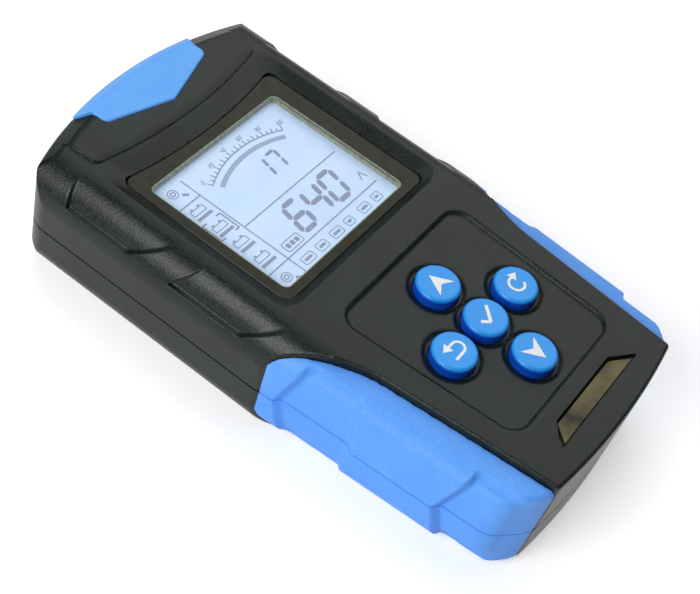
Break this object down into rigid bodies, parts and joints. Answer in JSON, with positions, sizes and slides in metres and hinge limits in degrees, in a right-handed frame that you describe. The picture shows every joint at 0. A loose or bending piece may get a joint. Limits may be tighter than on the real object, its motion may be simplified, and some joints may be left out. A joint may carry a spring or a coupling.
{
  "type": "hand-held battery tester",
  "caption": "Hand-held battery tester: wide display head, narrower handle with soft finger grips, sprung round keys in a cross, sealed case and a lead bush in the top end.",
  "frame": {"origin": "middle of the footprint on the table, with the tester lying on its back", "axes": "+Y along the case towards the display end, +Z out of the face, +X to the reader's right"},
  "size_m": [0.1036, 0.1846, 0.0415],
  "materials": {
    "case": "fine moulded grain",
    "grip": "soft satin",
    "cap": "satin",
    "plate": "polished, smoky",
    "window": "clear with a dark printed border",
    "tape": "adhesive film",
    "lcd": "display glass",
    "holder": "moulded",
    "backlight": "light guide",
    "connector_rubber": "layered silicone",
    "board": "solder mask",
    "contacts": "plated",
    "keypad": "silicone",
    "keys": "smooth, slightly domed edge",
    "pills": "conductive carbon",
    "packages": "moulded packages",
    "ceramic": "cement",
    "sleeve": "sleeved can",
    "can": "drawn can",
    "bush": "matte",
    "terminal": "moulded",
    "screws": "zinc plated"
  },
  "bodies": {
    "case": {"front_shell": "case", "rear_shell": "case", "left_front_grip": "grip", "right_front_grip": "grip", "left_rear_grip": "grip", "right_rear_grip": "grip", "end_cap": "cap", "nameplate": "plate", "display_window": "window", "window_tape": "tape", "lcd_glass": "lcd", "lcd_holder": "holder", "backlight_panel": "backlight", "zebra_strip": "connector_rubber", "main_board": "board", "contact_pads": "contacts", "keypad_mat": "keypad", "web_up": "keypad", "web_down": "keypad", "web_enter": "keypad", "web_back": "keypad", "web_reset": "keypad", "microcontroller": "packages", "signal_chips": "packages", "load_transistors": "packages", "buzzer": "packages", "load_resistors": "ceramic", "capacitors": "sleeve", "crystal": "can", "lead_bush": "bush", "lead_terminals": "terminal", "board_screws": "screws", "case_screws": "screws"},
    "up_key": {"key_up": "keys", "pill_up": "pills"},
    "down_key": {"key_down": "keys", "pill_down": "pills"},
    "enter_key": {"key_enter": "keys", "pill_enter": "pills"},
    "back_key": {"key_back": "keys", "pill_back": "pills"},
    "reset_key": {"key_reset": "keys", "pill_reset": "pills"}
  },
  "joints": [
    {"name": "up_press", "type": "slide", "parent": "case", "child": "up_key", "axis": [0, 0, -1], "range_m": [0, 0.0012], "stiffness_N_per_m": 1200, "deforming": ["web_up"]},
    {"name": "down_press", "type": "slide", "parent": "case", "child": "down_key", "axis": [0, 0, -1], "range_m": [0, 0.0012], "stiffness_N_per_m": 1200, "deforming": ["web_down"]},
    {"name": "enter_press", "type": "slide", "parent": "case", "child": "enter_key", "axis": [0, 0, -1], "range_m": [0, 0.0012], "stiffness_N_per_m": 1200, "deforming": ["web_enter"]},
    {"name": "back_press", "type": "slide", "parent": "case", "child": "back_key", "axis": [0, 0, -1], "range_m": [0, 0.0012], "stiffness_N_per_m": 1200, "deforming": ["web_back"]},
    {"name": "reset_press", "type": "slide", "parent": "case", "child": "reset_key", "axis": [0, 0, -1], "range_m": [0, 0.0012], "stiffness_N_per_m": 1200, "deforming": ["web_reset"]}
  ]
}
